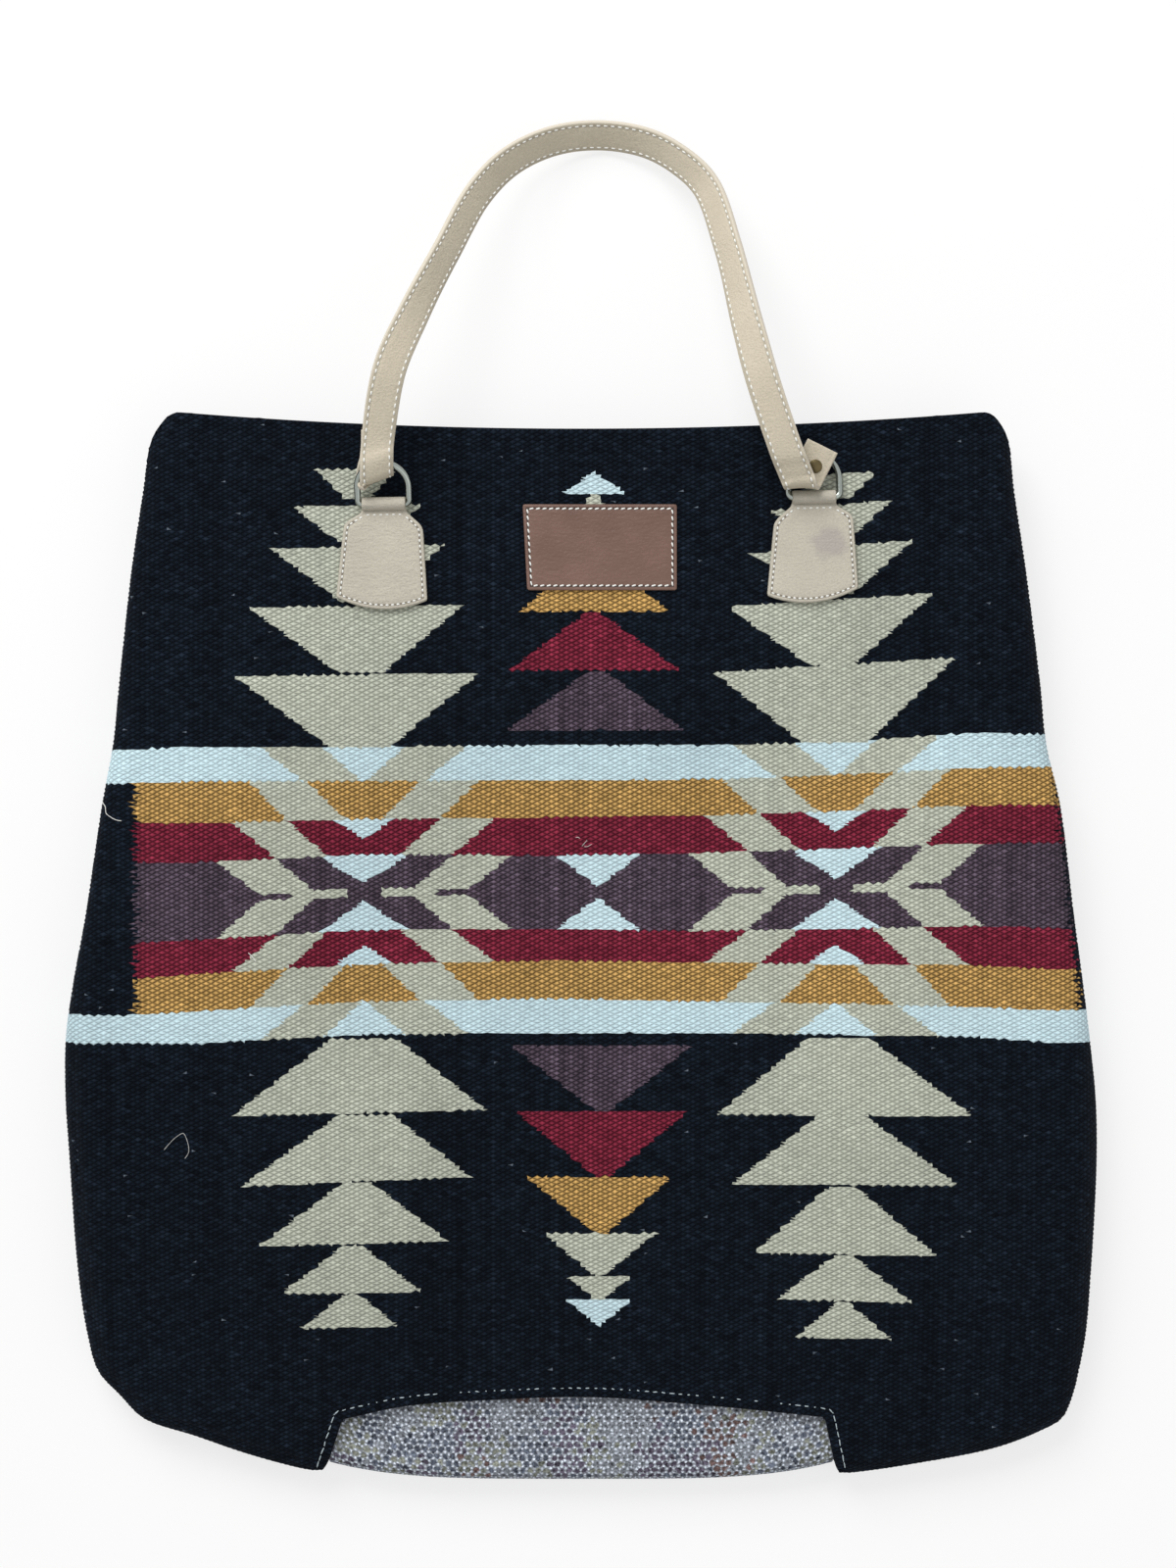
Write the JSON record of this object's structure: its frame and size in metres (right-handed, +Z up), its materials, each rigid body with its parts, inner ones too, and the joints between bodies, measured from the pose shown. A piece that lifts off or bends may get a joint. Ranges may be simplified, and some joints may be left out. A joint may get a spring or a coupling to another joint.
{
  "type": "tote bag",
  "caption": "Flat-woven wool tote bag lying on its back, open at the top, with a knitted base insert, leather patch and stitched leather handles hinged on D-rings.",
  "frame": {"origin": "middle of the footprint on the table the bag lies on", "axes": "+Z up from the table through the front face, +Y from the base of the bag to its mouth, +X to the right across the front"},
  "size_m": [0.5938, 0.7892, 0.0749],
  "materials": {
    "woven_wool": "thick ribbed flatweave, black ground with a stepped motif in tan, white, gold, red and mauve",
    "knit": "silvery grey honeycomb knit with brown flecks",
    "pale_leather": "smooth matt pale leather with white edge stitching",
    "brown_leather": "matt brown leather with white edge stitching",
    "nickel": "dull nickel plate",
    "old_brass": "antique brass"
  },
  "bodies": {
    "bag": {"front_panel": "woven_wool", "back_panel": "woven_wool", "bottom_panel": "knit", "patch": "brown_leather", "front_left_tab": "pale_leather", "front_right_tab": "pale_leather", "back_left_tab": "pale_leather", "back_right_tab": "pale_leather"},
    "front_grip": {"front_handle": "pale_leather", "front_left_ring": "nickel", "front_right_ring": "nickel", "front_left_rivet": "old_brass", "front_right_rivet": "old_brass"},
    "back_grip": {"back_handle": "pale_leather", "back_left_ring": "nickel", "back_right_ring": "nickel", "back_left_rivet": "old_brass", "back_right_rivet": "old_brass"}
  },
  "joints": [
    {"name": "front_swing", "type": "hinge", "parent": "bag", "child": "front_grip", "pos_m": [0.0102, 0.17041, 0.04605], "axis": [0.9999, 0.0157, 0], "range_deg": [0, 105]},
    {"name": "back_swing", "type": "hinge", "parent": "bag", "child": "back_grip", "pos_m": [0.0102, 0.17041, 0.01495], "axis": [1, 0, 0], "range_deg": [0, 120]}
  ]
}
